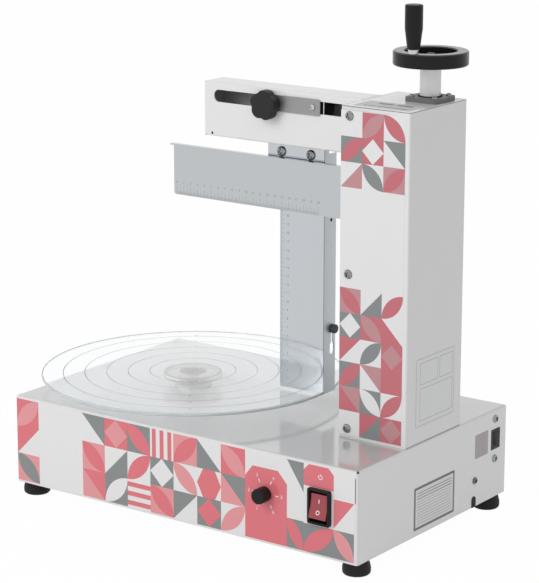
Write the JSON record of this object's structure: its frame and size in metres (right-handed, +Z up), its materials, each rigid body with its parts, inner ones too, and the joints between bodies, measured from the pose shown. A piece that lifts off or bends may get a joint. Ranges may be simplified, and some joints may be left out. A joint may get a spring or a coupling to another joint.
{
  "type": "cake icing smoother",
  "caption": "Motor-driven cake turntable with a crank-lowered cross blade on a column and an upright blade sliding on an arm, for smoothing icing.",
  "frame": {"origin": "under the middle of the bounding box, on the surface that the feet stand on", "axes": "+Z up, +X to the right (from the plate to the column), +Y to the back"},
  "size_m": [0.528, 0.3556, 0.5962],
  "materials": {
    "white_paint": "smooth white powder coat, satin to glossy",
    "steel": "finely brushed",
    "grey_steel": "plain plated sheet",
    "cast_iron": "dark grey, machined flat",
    "brass": "turned",
    "aluminium": "turned and milled, satin",
    "black_plastic": "satin black",
    "grey_plastic": "matt grey",
    "rubber": "matt black",
    "red_plastic": "translucent red",
    "board": "green board",
    "glass": "clear, with etched rings"
  },
  "bodies": {
    "stand": {"base_housing": "white_paint", "bottom_plate": "grey_steel", "foot_front_left": "rubber", "foot_front_right": "rubber", "foot_rear_left": "rubber", "foot_rear_right": "rubber", "gearmotor": "grey_steel", "motor_bracket": "grey_steel", "shaft_bearing": "cast_iron", "control_board": "board", "potentiometer": "grey_steel", "switch_housing": "black_plastic", "power_inlet": "black_plastic", "edge_grommet": "rubber", "column_shell": "white_paint", "column_cover": "white_paint", "cover_screw_top": "steel", "cover_screw_middle": "steel", "cover_screw_bottom": "steel", "column_head": "white_paint", "column_foot": "grey_steel", "guide_rod_front": "steel", "guide_rod_rear": "steel", "lower_bearing": "grey_steel", "flange_bearing": "cast_iron", "flange_screw_1": "steel", "flange_screw_2": "steel", "flange_screw_3": "steel", "flange_screw_4": "steel", "spacer_tube": "aluminium", "arm_box": "white_paint"},
    "turntable": {"drive_shaft": "steel", "turntable_hub": "grey_plastic", "hub_pad": "rubber", "cake_plate": "glass"},
    "crank": {"lead_screw": "steel", "handwheel": "black_plastic", "wheel_nut": "steel", "grip_spindle": "steel"},
    "crank_grip": {"grip": "black_plastic"},
    "lift": {"carriage": "aluminium", "lead_nut": "brass", "guide_bush_front": "brass", "guide_bush_rear": "brass", "cross_blade": "steel", "blade_screw_upper": "steel", "blade_screw_lower": "steel"},
    "slider": {"slider_block": "black_plastic", "clamp_strap": "steel", "strap_screw": "steel", "hanger": "steel", "hanger_screw_left": "steel", "hanger_screw_right": "steel", "vertical_blade": "steel"},
    "clamp_knob": {"star_knob": "black_plastic", "star_knob_stud": "steel"},
    "slot_runner": {"slot_stud": "steel"},
    "small_knob": {"thumb_knob": "black_plastic"},
    "speed_control": {"speed_knob": "black_plastic"},
    "rocker": {"power_rocker": "red_plastic"}
  },
  "joints": [
    {"name": "turntable_spin", "type": "hinge", "parent": "stand", "child": "turntable", "pos_m": [-0.0862, 0, 0.13], "axis": [0, 0, 1], "continuous": true},
    {"name": "handwheel_turn", "type": "hinge", "parent": "stand", "child": "crank", "pos_m": [0.223, 0.022, 0.52], "axis": [0, 0, 1], "range_deg": [0, 6840]},
    {"name": "grip_spin", "type": "hinge", "parent": "crank", "child": "crank_grip", "pos_m": [0.223, -0.01275, 0.57], "axis": [0, 0, 1], "continuous": true},
    {"name": "blade_lift", "type": "slide", "parent": "stand", "child": "lift", "axis": [0, 0, 1], "range_m": [-0.19001, 0]},
    {"name": "radius_slide", "type": "slide", "parent": "stand", "child": "slider", "axis": [1, 0, 0], "range_m": [-0.069, 0.045]},
    {"name": "clamp_knob_turn", "type": "hinge", "parent": "slider", "child": "clamp_knob", "pos_m": [0.038, -0.026, 0.4727], "axis": [0, -1, 0], "range_deg": [0, 360]},
    {"name": "runner_slide", "type": "slide", "parent": "slider", "child": "slot_runner", "axis": [0, 0, 1], "range_m": [-0.028, 0]},
    {"name": "small_knob_turn", "type": "hinge", "parent": "slot_runner", "child": "small_knob", "pos_m": [0.105, 0.0165, 0.2177], "axis": [1, 0, 0], "range_deg": [0, 360]},
    {"name": "speed_knob_turn", "type": "hinge", "parent": "stand", "child": "speed_control", "pos_m": [0.13, -0.158, 0.0728], "axis": [0, -1, 0], "range_deg": [-140, 140]},
    {"name": "rocker_tip", "type": "hinge", "parent": "stand", "child": "rocker", "pos_m": [0.2028, -0.151, 0.0728], "axis": [1, 0, 0], "range_deg": [0, 24]}
  ],
  "couplings": [
    {"joint": "blade_lift", "follows": "handwheel_turn", "m_per_rad": -0.0015915}
  ]
}
